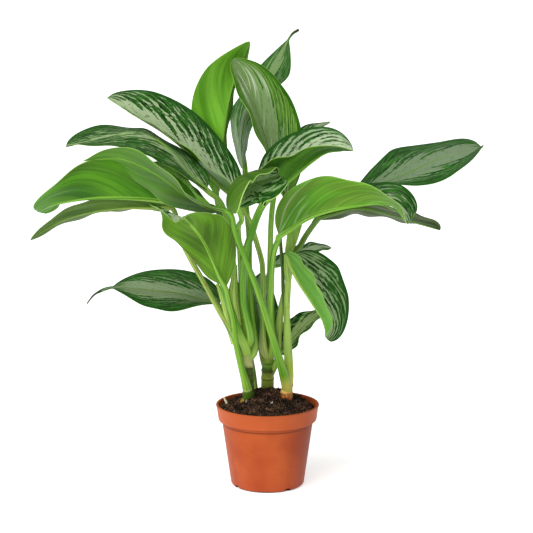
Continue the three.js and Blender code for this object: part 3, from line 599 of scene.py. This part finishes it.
def leaf_under(name, seed, bright=(94, 158, 24), shade=(54, 110, 10), olive=(88, 112, 36), olive_share=0.3,
               streaks=0.12, rim=0.6, painted_fold_shade=0.14, tail=None, painted_sheen=0.0):
    """Plain green with soft broad painted shading, painted highlights and shade along the quilting, faint veins, a
    bright rib and margin, and where asked a painted sheen near the foot.
    """
    look = Look(name)
    times, step, paint = look.times, look.step, look.paint
    q, r = look.uv("vein")
    t, _ = look.uv("leaf")
    shifted = look.plus(q, seed * 5.1)

    def patches(along, out, z=0.0, detail=1.0):
        return look.streaks(shifted, r, (along, out), z, detail)

    band = patches(1.1, 1.2, 7.0, 2.0)
    fine = patches(7.0, 9.0, detail=3.0)
    off = look.apart(look.maths("FRACT", shifted), 0.5)
    colour = look.mix(step(patches(0.16, 1.1), 0.3, 0.7), shade, bright)
    colour = paint(colour, step(patches(0.12, 1.0, 4.0), 0.42, 0.66), olive, olive_share)
    # Painted highlights along the quilting, and painted shade in its folds.
    colour = paint(colour, step(band, 0.45, 0.7), (138, 190, 70), streaks)
    colour = paint(colour, step(band, 0.48, 0.25), (36, 84, 12), painted_fold_shade)
    colour = paint(colour, step(off, 0.43, 0.5), (150, 200, 90), 0.16)
    colour = paint(colour, fine, (44, 96, 24), 0.12)
    colour = paint(colour, step(r, 0.06, 0.025), (132, 186, 66))
    colour = paint(colour, step(r, 0.98, 0.992), (166, 206, 104), rim)
    if tail:
        colour = paint(colour, step(t, tail, tail + 0.07), DEAD_TAIL)
    # Painted sheen: a greyer zone near the foot of the blade with pale reflected streaks.
    if painted_sheen:
        near = times(step(t, 0.5, 0.1), painted_sheen)
        colour = paint(colour, near, (96, 132, 70), 0.45)
        colour = paint(colour, times(near, step(patches(0.55, 2.0, 17.0), 0.52, 0.66)), (190, 210, 160))
    height = look.plus(times(off, 0.7), times(fine, 0.2))
    return look.finish(colour, 0.45, height, 0.3, 0.0008, Specular_IOR_Level=0.12)


def stalk_look(name, seed, top=(90, 154, 26), foot=(148, 188, 76), pale=0.4, marks=0.0, base=None, reach=66.0):
    """Streaked along its length, with painted shade along its two flanks, and paler towards its foot."""
    look = Look(name)
    step, paint = look.step, look.paint
    along, side = look.uv("stalk")
    streaks = look.streaks(along, side, (0.014, 3.4), seed * 3.1, 3.0)
    near_foot = step(look.plus(along, look.times(streaks, 16.0)), reach, 14.0)
    colour = look.mix(near_foot, top, foot)
    colour = paint(colour, step(streaks, 0.42, 0.62), (192, 220, 104), pale)
    colour = paint(colour, step(streaks, 0.5, 0.3), (56, 108, 22), 0.5)
    # Painted shade: the two flanks, left and right as seen from the front on an upright stalk, are painted darker.
    colour = paint(colour, step(look.maths("ABSOLUTE", side), 0.6, 1.0), (46, 92, 18), 0.4)
    if base:
        colour = paint(colour, step(along, 21.0, 19.0), (176, 200, 120))
        colour = paint(colour, step(along, 18.5, 16.5), base)
    spot = look.streaks(along, side, (0.12, 2.0), seed * 1.7)
    colour = paint(colour, step(spot, 0.56, 0.64), (168, 112, 88), marks)
    return look.finish(colour, 0.42, streaks, 0.3, 0.0008, Specular_IOR_Level=0.25)


def cane_look(name, stops, scraps):
    """A cane whose colour follows its height, with darker ring scars and brown papery scraps at its foot."""
    look = Look(name)
    step, paint = look.step, look.paint
    _, _, z = look.parts(look.place())
    _, ring = look.uv("ring")
    patch = look.noise(look.place(), 160.0, 3.0)
    height = look.plus(z, look.times(look.minus(patch, 0.5), 0.012))
    low, high = stops[0][0], stops[-1][0]
    share = look.node("ShaderNodeMapRange", [(0, height), (1, low), (2, high), (3, 0.0), (4, 1.0)])
    colour = look.ramp(share, [((level - low) / (high - low), c) for level, c in stops])
    streak = look.grain((300.0, 300.0, 22.0), 3.0)
    colour = paint(colour, step(streak, 0.5, 0.3), (74, 84, 30), 0.4)
    flake = look.times(step(look.grain((460.0, 460.0, 240.0), 3.0), 0.47, 0.53), step(z, 0.137, 0.131))
    colour = paint(colour, flake, (146, 66, 26), scraps)
    colour = paint(colour, ring, (60, 60, 24), 0.75)
    return look.finish(colour, 0.5, streak, 0.3, 0.0008, Specular_IOR_Level=0.2)


def pot_look():
    """Clouded, scuffed terracotta plastic, with painted shade in the creases under its collar, in its notches and down
    its right side, and a painted highlight on its collar.
    """
    look = Look("pot_plastic")
    plus, times, step, paint = look.plus, look.times, look.step, look.paint
    place = look.place()
    x, y, z = look.parts(place)
    cloud = look.noise(place, 22.0, 3.0)
    scuff = look.grain((60.0, 60.0, 420.0), 4.0)
    colour = look.mix(step(cloud, 0.25, 0.75), (162, 65, 23), (182, 83, 34))
    # Painted shade: the colour darkens towards the right side, away from the light.
    colour = paint(colour, step(x, 0.012, 0.062), (112, 36, 10), 0.62)
    collar, under = COLLAR_BOTTOM * MM, BASE_RADIUS * MM
    # Painted highlight: the collar is painted lighter, where it catches more light.
    colour = paint(colour, step(z, collar - 0.0025, collar + 0.0005), (206, 102, 52), 0.35)
    colour = paint(colour, step(scuff, 0.62, 0.8), (212, 126, 84), 0.25)
    # Painted shade in the two creases, at the foot of the step band and just under the collar.
    for level, reach, strength in ((STEP_BOTTOM * MM - 0.0006, 0.0017, 0.7), (collar - 0.0012, 0.0013, 0.6)):
        colour = paint(colour, step(look.apart(z, level), reach, reach * 0.3), (96, 40, 18), strength)
    radius = look.maths("SQRT", plus(times(x, x), times(y, y)))
    # Painted shade: the notch insides, within the pot's foot, are painted almost black.
    inside = times(step(radius, under - 0.0002, under - 0.0012), step(z, 0.0001, 0.0004))
    colour = paint(colour, inside, (26, 12, 7))
    height = plus(times(look.noise(place, 1400.0, 2.0), 0.6), times(scuff, 0.4))
    return look.finish(colour, plus(times(cloud, 0.14), 0.42), height, 0.06, 0.0004, Specular_IOR_Level=0.17)


def soil_look():
    """Dark clods with paler patches and small light specks."""
    look = Look("soil_mix")
    place = look.place()
    clod = look.noise(place, 290.0, 5.0, 0.75)
    patch = look.noise(place, 60.0, 2.0)
    speck = look.noise(place, 800.0, 2.0)
    mixed = look.plus(look.times(clod, 0.7), look.times(patch, 0.3))
    colour = look.ramp(mixed, [(0.38, (9, 5, 4)), (0.5, (36, 23, 17)), (0.62, (128, 94, 73))])
    colour = look.paint(colour, look.step(speck, 0.64, 0.7), (172, 144, 118))
    height = look.plus(clod, look.times(speck, 0.4))
    return look.finish(colour, 0.95, height, 0.9, 0.002, Specular_IOR_Level=0.12)


def chip_look(name, dark, light):
    """Fine grain between two colours, for the chips, the bud and the root."""
    look = Look(name)
    fine = look.noise(look.place(), 700.0, 3.0)
    return look.finish(look.mix(fine, dark, light), 0.7, fine, 0.3, 0.0005)


# ---- leaves

def leaf_axes(leaf, rib, t):
    """Ahead along the rib, across the blade and up out of it."""
    heading = math.radians(leaf["heading"])
    ahead = rib.tangent(t)
    side = np.array([-math.sin(heading), math.cos(heading), 0.0])
    side = unit(side - ahead * (ahead @ side)[:, None])
    return ahead, side, np.cross(ahead, side)


def blade_surface(leaf, t, s):
    """The middle surface of the blade, its normals, and the vein coordinates."""
    rib = Curve(leaf["rib"])
    ahead, side, up = leaf_axes(leaf, rib, t)
    base, tip = leaf.get("shape", BLADE_SHAPE)
    share = np.minimum(t / (1 - leaf.get("tail", 0)), 1)
    widest = base / (base + tip)
    fullness = share**base * (1 - share)**tip / (widest**base * (1 - widest)**tip)

    def by_side(left, right):
        return np.where(s[None] < 0, right[:, None], left[:, None])

    spread = by_side(*[np.maximum(through(v, t), 0) for v in leaf.get("spread", EVEN_SPREAD)])
    width = leaf["half_width"] * fullness[:, None] * spread + leaf.get("least_half_width", LEAST_HALF_WIDTH)
    reach, hand = np.abs(s), np.where(s < 0, -1.0, 1.0)
    curl_left, curl_right = leaf.get("curl", (0, 0))
    curl = np.where(s < 0, curl_right, curl_left)
    raised = by_side(through(leaf["left"], t), through(leaf["right"], t))
    angle = np.radians(raised + curl[None] * (reach[None] - 1) / 2)
    size, count, lag = leaf.get("wave", EDGE_WAVE)
    wave = (size * fullness[:, None] * reach[None] ** 2
            * np.sin(2 * np.pi * count * t[:, None] + hand[None] * lag + leaf["heading"]))
    far = width * reach[None]
    across = hand[None] * (far * np.cos(angle) - wave * np.sin(angle))
    rise = far * np.sin(angle) + wave * np.cos(angle)
    points = rib.at(t)[:, None] + side[:, None] * across[..., None] + up[:, None] * rise[..., None]
    normal = unit(np.cross(np.gradient(points, axis=0), -np.gradient(points, axis=1)))

    q = (t[:, None] - leaf.get("sweep", VEIN_SWEEP) * reach[None] ** 1.15) * (rib.length / VEIN_SPACING)
    out = np.repeat(reach[None], len(t), 0)
    quilt = (VEIN_QUILT * np.cos(2 * np.pi * q) + BROAD_QUILT * noise2(q * 0.24, out * 1.7, 3)
             + leaf.get("quilt", FINE_QUILT) * noise2(q * 0.9, out * 4, 5))
    quilt = quilt * np.sin(np.pi * np.clip(reach, 0, 1))[None] * np.minimum(fullness, 1)[:, None]
    groove = -GROOVE_DEPTH * np.exp(-((far / GROOVE_REACH) ** 2)) * (1 - t[:, None])
    if leaf["name"] == "leaf_torn":
        torn = between(t, TEAR_START, 1)[:, None] * (0.5 + 0.5 * np.sin(9 * s + 1.3))[None]
        points = points - ahead[:, None] * TEAR_DEPTH * torn[..., None]
    return points + normal * (quilt + groove)[..., None], normal, q


def make_leaf(leaf, materials):
    """A blade with its stalk and sheath. The materials are for its top, its underside, the stalk and the sheath."""
    rows, columns = BLADE_ROWS, 2 * BLADE_HALF - 1
    # rows are a little closer in the middle, and columns at the edges
    t = np.linspace(0, 1, rows)
    t = t + 0.02 * np.sin(2 * np.pi * t) / (2 * np.pi)
    edge = np.linspace(1, 0, BLADE_HALF) ** 0.85
    s = np.r_[edge, -edge[::-1][1:]]
    points, normal, q = blade_surface(leaf, t, s)
    count = rows * columns
    vertices = [(points + normal * side * BLADE_THICKNESS / 2).reshape(-1, 3) for side in (1, -1)]
    faces = grid_faces(rows, columns) + grid_faces(rows, columns, count, flipped=True)
    slots = [0] * (len(faces) // 2) + [1] * (len(faces) // 2)
    # the thin rim between the two faces
    rim = [i * columns for i in range(rows)] + [(rows - 1) * columns + j for j in range(1, columns)]
    rim += [i * columns + columns - 1 for i in range(rows - 2, -1, -1)] + list(range(columns - 2, 0, -1))
    for a, b in zip(rim, rim[1:] + rim[:1]):
        faces.append((a, a + count, b + count, b))
        slots.append(1)
    across = np.repeat((1 - s[None]) / 2, rows, 0)
    uvs = {"leaf": [np.stack([np.repeat(t[:, None], columns, 1), across], -1).reshape(-1, 2)] * 2,
           "vein": [np.stack([q, np.repeat(np.abs(s)[None], rows, 0)], -1).reshape(-1, 2)] * 2,
           "stalk": [np.zeros((2 * count, 2))]}

    def add_tube(tube_points, tube_faces, tube_uv, slot):
        base = sum(len(v) for v in vertices)
        vertices.append(tube_points)
        faces.extend(tuple(base + k for k in face) for face in tube_faces)
        slots.extend([slot] * len(tube_faces))
        uvs["stalk"].append(tube_uv)
        for key in ("leaf", "vein"):
            uvs[key].append(np.zeros((len(tube_points), 2)))

    rib = Curve(leaf["rib"])
    path = Curve([*leaf["stalk"], *[tuple(rib.at(x)) for x in MIDRIB_STOPS]])
    blade_start = 1 - MIDRIB_END * rib.length / path.length
    small, large = leaf.get("stalk_radius", STALK_RADIUS)

    def radius_at(x):
        if x < blade_start:
            free = min(x / blade_start / STALK_TAPER_END, 1)
            swell = math.exp(-(((x * path.length - FLARE_PLACE) / FLARE_REACH) ** 2))
            return large + (small - large) * free + leaf.get("flare", STALK_FLARE) * swell
        share = (x - blade_start) / (1 - blade_start)
        return MIDRIB_TIP_RADIUS + (small - MIDRIB_TIP_RADIUS) * (1 - share) ** 1.5

    def sink(x):
        """The midrib lies under the blade, so that only the groove shows above."""
        share = between(x, blade_start, 1)
        _, _, up = leaf_axes(leaf, rib, share * MIDRIB_END)
        deep = np.array([radius_at(v) for v in x]) * MIDRIB_SINK * between(share, 0, 0.12)
        return -up * deep[:, None]

    add_tube(*tube(path, radius_at, *STALK_GRID, offset=sink), 2)
    if "sheath" in leaf:
        add_tube(*taper_tube(leaf["sheath"], *SHEATH_GRID, squeeze=lambda x: SHEATH_DEPTH), 3)
    uvs = {key: np.vstack(values) for key, values in uvs.items()}
    piece = make_mesh(leaf["name"] + "_look", np.vstack(vertices), faces, materials, slots, uvs)
    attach(piece, "root")
    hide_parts(leaf["name"])


sheath_material = stalk_look("sheath_green", 5, top=(146, 180, 84), foot=(160, 184, 96), pale=0.7, marks=0.15)

for number, leaf in enumerate(LEAVES):
    name = leaf["name"]
    make_leaf(leaf, [
        leaf_top(name + "_top", number + 1, **leaf.get("top", {})),
        leaf_under(name + "_under", number + 1, **leaf.get("under", {})),
        stalk_look(name + "_stalk", number, **leaf.get("skin", {})),
        sheath_material,
    ])

# ---- canes and root

def sheath_mouth(x):
    """The upper end of cane_right is flattened."""
    return 1 - 0.86 * float(between(x, 0.8, 0.97))


for cane in CANES:
    name = cane["name"]
    points, faces, uv = taper_tube(cane, *CANE_GRID, squeeze=sheath_mouth if name == "cane_right" else None)
    ring = np.zeros(len(points))
    for level in cane["rings"]:
        scar = np.exp(-((points[:, 2] - level + 1.2) / 0.9) ** 2)
        ring = np.maximum(ring, (FAINT if level > HIGH_RING else 1) * scar)
    skin = cane_look(name + "_skin", cane["stops"], cane.get("scraps", FEW_SCRAPS))
    piece = make_mesh(name + "_look", points, faces, [skin], None, {"ring": np.stack([uv[:, 0], ring], -1)})
    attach(piece, "root")
    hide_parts(cane["name"])

points, faces, _ = taper_tube(PALE_ROOT, *ROOT_GRID)
piece = make_mesh("pale_root_look", points, faces, [chip_look("root_skin", (206, 194, 150), (240, 232, 206))])
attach(piece, "root")
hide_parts("pale_root")

# ---- soil

# A bit of soil is an octahedron: its corners and its faces.
BIT = np.array([[1, 0, 0], [-1, 0, 0], [0, 1, 0], [0, -1, 0], [0, 0, 1], [0, 0, -1]], float)
BIT_FACES = [(0, 2, 4), (2, 1, 4), (1, 3, 4), (3, 0, 4), (2, 0, 5), (1, 2, 5), (3, 1, 5), (0, 3, 5)]
SOIL, PALE, YELLOW = 0, 1, 2
# Chips, roots and the bud on the soil: x and y, half sizes, material, and height above the soil.
CHIPS = [
    ((-37, 2), (1.6, 1.4, 3.6), YELLOW, 3.0), ((-35, 1), (1.3, 1.2, 3.0), YELLOW, 2.4),
    ((-39, 3), (1.2, 1.1, 2.4), YELLOW, 1.6), ((-31, -4), (0.8, 0.7, 3.2), PALE, 2.0),
    ((6, -14), (1.6, 1.0, 1.6), PALE, 1.2), ((7, -12), (1.0, 0.8, 2.2), PALE, 1.4),
    ((-7, -58), (1.2, 0.9, 0.8), YELLOW, 0.6), ((48, -34), (1.0, 0.8, 0.7), PALE, 0.7),
    ((52, -30), (0.9, 0.7, 0.6), PALE, 0.7), ((45, -40), (0.8, 0.7, 0.6), PALE, 0.6),
    ((-48, -26), (0.9, 0.7, 0.6), PALE, 0.6), ((24, -44), (0.8, 0.6, 0.6), PALE, 0.6),
    ((-20, -36), (0.7, 0.6, 0.5), PALE, 0.6), ((30, 40), (1.2, 0.8, 0.7), PALE, 0.7),
    ((-40, 34), (1.0, 0.8, 0.7), PALE, 0.7),
]


def soil_surface(x, y):
    """The height of the soil: a mound, lower at the wall and at the right, with clods that fade at the wall."""
    x, y = np.asarray(x, float), np.asarray(y, float)
    out = np.hypot(x, y)
    cx, cy, height, spread = SOIL_MOUND
    wall_dip, right_dip, fade = [share * between(value, start, end) for value, (share, start, end) in
                                 ((out, SOIL_WALL_DIP), (x, SOIL_RIGHT_DIP), (out, SOIL_FADE))]
    smooth = SOIL_LEVEL - (wall_dip + right_dip) + height * np.exp(-((x - cx) ** 2 + (y - cy) ** 2) / (2 * spread**2))
    rough = sum(rise * noise2(x / size, y / size, seed) for rise, size, seed in SOIL_ROUGH)
    return smooth + rough * (1 - fade)


def make_crumbs(draw):
    """Crumbs strewn over the soil, one in ten larger, each turned and tipped its own way."""
    for _ in range(CRUMBS):
        r, a = CRUMB_REACH * math.sqrt(draw.random()), draw.uniform(0, 2 * math.pi)
        x, y = r * math.cos(a), r * math.sin(a)
        size = draw.uniform(*CRUMB_SIZE) * (1 if draw.random() < 0.9 else 1.6)
        z = float(soil_surface(x, y)) + size * draw.uniform(-0.1, 0.4)
        turn, lean = draw.uniform(0, 6.28), draw.uniform(0, 1.5)
        c, s = math.cos(lean), math.sin(lean)
        scale = size * np.array([draw.uniform(0.7, 1.5), draw.uniform(0.6, 1.1), draw.uniform(0.5, 0.9)])
        leaning = BIT * scale @ np.array([[1, 0, 0], [0, c, -s], [0, s, c]]).T
        yield turned(leaning, turn) + [x, y, z]


def make_soil():
    """The soil's body inside the pot, its rough top, and the bits that lie on it."""
    sides, rings = SOIL_SIDES, SOIL_RINGS
    inner = WALL + SOIL_GAP
    edge = COLLAR_RADIUS - inner + SOIL_EDGE
    angle = circle(sides)
    points = []
    for k in range(rings):
        r = edge * (1 - k / rings)
        x, y = r * np.cos(angle), r * np.sin(angle)
        points.append(np.stack([x, y, soil_surface(x, y)], -1))
    # the radius and height of the soil's side, from its edge down
    wall = ((edge, SOIL_LEVEL - 9), (COLLAR_RADIUS - inner, COLLAR_BOTTOM + WALL), (STEP_RADIUS - inner, COLLAR_BOTTOM),
            (BASE_RADIUS - inner, FLOOR + 0.3))
    points += [level_ring(r, z, sides) for r, z in wall]
    top, bottom = caps(rings - 1, rings + len(wall) - 1, sides)
    faces = [*grid_faces(rings, sides, flipped=True, wrap=True), top]
    faces += [(j, rings * sides + j, rings * sides + (j + 1) % sides, (j + 1) % sides) for j in range(sides)]
    faces += [*grid_faces(len(wall), sides, rings * sides, wrap=True), bottom]
    slots = [SOIL] * len(faces)

    bits = [(bit, SOIL) for bit in make_crumbs(random.Random(CRUMB_SEED))]
    for (x, y), size, slot, rise in CHIPS:
        z = float(soil_surface(x, y)) + rise
        bits.append((turned(BIT * size, (x * 7 + y * 3) % 6.28) + [x, y, z], slot))
    base = sum(len(p) for p in points)
    for bit, slot in bits:
        points.append(bit)
        faces += [tuple(base + k for k in face) for face in BIT_FACES]
        slots += [slot] * len(BIT_FACES)
        base += len(bit)
    materials = [soil_look(), chip_look("pale_chip", (214, 206, 186), (244, 240, 226)),
                 chip_look("yellow_bud", (200, 150, 30), (236, 196, 70))]
    piece = make_mesh("soil_look", np.vstack(points), faces, materials, slots, sharp=60)
    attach(piece, "root")
    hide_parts("soil")


make_soil()

# ---- pot

def near(radius, level, offsets):
    """Points of the profile by how far they lie outside and above one of its corners."""
    return [(radius + out, level + up) for out, up in offsets]


POT_PROFILE = [
    (AXIS, 0), *near(BASE_RADIUS, 0, ((-4, 0), (-2.6, 0.2), (-1, 1.4), (0.4, 3.4))),
    *near(STEP_RADIUS, STEP_BOTTOM, ((-1.1, -0.9), (-1, -0.2), (-0.5, 0), (0, 0.5))),
    *near(STEP_RADIUS, COLLAR_BOTTOM, ((0.1, -2), (0.4, -1.5))),
    *near(COLLAR_RADIUS, COLLAR_BOTTOM, ((-1.6, -1.1), (-0.6, -0.6), (-0.1, 0.3), (0.3, 2.4))),
    *near(RIM_RADIUS, POT_HEIGHT, ((-0.9, -3), (-0.7, -2.6), (-0.1, -2.1), (0, -1.6), (0, -0.8), (-0.25, -0.25),
                                   (-0.8, 0), (-2.6, 0), (-3.1, -0.2), (-3.5, -0.7), (-3.7, -2))),
    (COLLAR_RADIUS - WALL, COLLAR_BOTTOM + WALL), (STEP_RADIUS - WALL, COLLAR_BOTTOM),
    (BASE_RADIUS - WALL, FLOOR), (AXIS, FLOOR),
]
# The faces of a block whose corners are listed by x, then y, then z.
BLOCK_FACES = ((0, 1, 3, 2), (4, 6, 7, 5), (0, 4, 5, 1), (2, 3, 7, 6), (0, 2, 6, 4), (1, 5, 7, 3))


def notch_cutter():
    """Blocks that cut the drain notches round the pot's lower edge."""
    points, faces = [], []
    for i in range(NOTCHES):
        deep, wide, tall = NOTCH_BLOCK
        block = np.array([[x, y, z] for x in (-deep, deep) for y in (-wide, wide) for z in (-tall, tall)], float)
        block[:, 0] += BASE_RADIUS
        faces += [tuple(len(points) * len(block) + k for k in face) for face in BLOCK_FACES]
        points.append(turned(block, math.radians(NOTCH_START + 360 / NOTCHES * i)))
    return make_mesh("notch_cutter", np.vstack(points), faces, [], smooth=False, sharp=0)


def make_pot():
    """The profile turned round the upright axis, with its notches cut."""
    points = np.vstack([level_ring(r, z, POT_SIDES) for r, z in POT_PROFILE])
    rings = len(POT_PROFILE)
    faces = grid_faces(rings, POT_SIDES, wrap=True) + caps(0, rings - 1, POT_SIDES)
    piece = make_mesh("pot_look", points, [tuple(reversed(f)) for f in faces], [pot_look()], sharp=40)
    cutter = notch_cutter()
    cut = piece.modifiers.new("notches", "BOOLEAN")
    cut.operation = "DIFFERENCE"
    cut.solver = "EXACT"
    cut.object = cutter
    bpy.context.view_layer.update()
    done = bpy.data.meshes.new_from_object(piece.evaluated_get(bpy.context.evaluated_depsgraph_get()))
    piece.modifiers.clear()
    piece.data = done
    bpy.data.objects.remove(cutter)
    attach(piece, "root")
    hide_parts("pot")


make_pot()

# ---- floor, light and camera

floor_look = Look("white_floor")
soft = floor_look.noise(floor_look.place(), 3.0, 1.0)
floor_material = floor_look.finish(floor_look.mix(soft, (0.93, 0.93, 0.93, 1), (0.95, 0.95, 0.95, 1)), 0.9,
                                   Emission_Color=(1, 1, 1, 1), Emission_Strength=FLOOR_GLOW)
floor = make_mesh("floor", level_ring(FLOOR_RADIUS, 0, 60), [tuple(range(60))], [floor_material], sharp=0)

world = bpy.data.worlds.new("studio")
bpy.context.scene.world = world
world.use_nodes = True
background = world.node_tree.nodes["Background"]
background.inputs[0].default_value = (1.0, 1.0, 1.0, 1)
background.inputs[1].default_value = WORLD_LIGHT

sun_data = bpy.data.lights.new("sun", "SUN")
sun_data.energy = SUN_LIGHT
sun_data.angle = math.radians(SUN_SOFTNESS)
sun = bpy.data.objects.new("sun", sun_data)
bpy.context.scene.collection.objects.link(sun)
sun.rotation_euler = Vector(SUN_RAYS).to_track_quat("-Z", "Y").to_euler()

camera_data = bpy.data.cameras.new("camera")
camera_data.sensor_width = CAMERA_SENSOR
camera_data.lens = CAMERA_LENS
camera = bpy.data.objects.new("camera", camera_data)
bpy.context.scene.collection.objects.link(camera)
camera.location = CAMERA_AIM + Vector((0, -CAMERA_FAR * math.cos(CAMERA_TILT), CAMERA_FAR * math.sin(CAMERA_TILT)))
camera.rotation_euler = (CAMERA_AIM - camera.location).to_track_quat("-Z", "Y").to_euler()
bpy.context.scene.camera = camera
bpy.context.scene.view_settings.view_transform = "Standard"
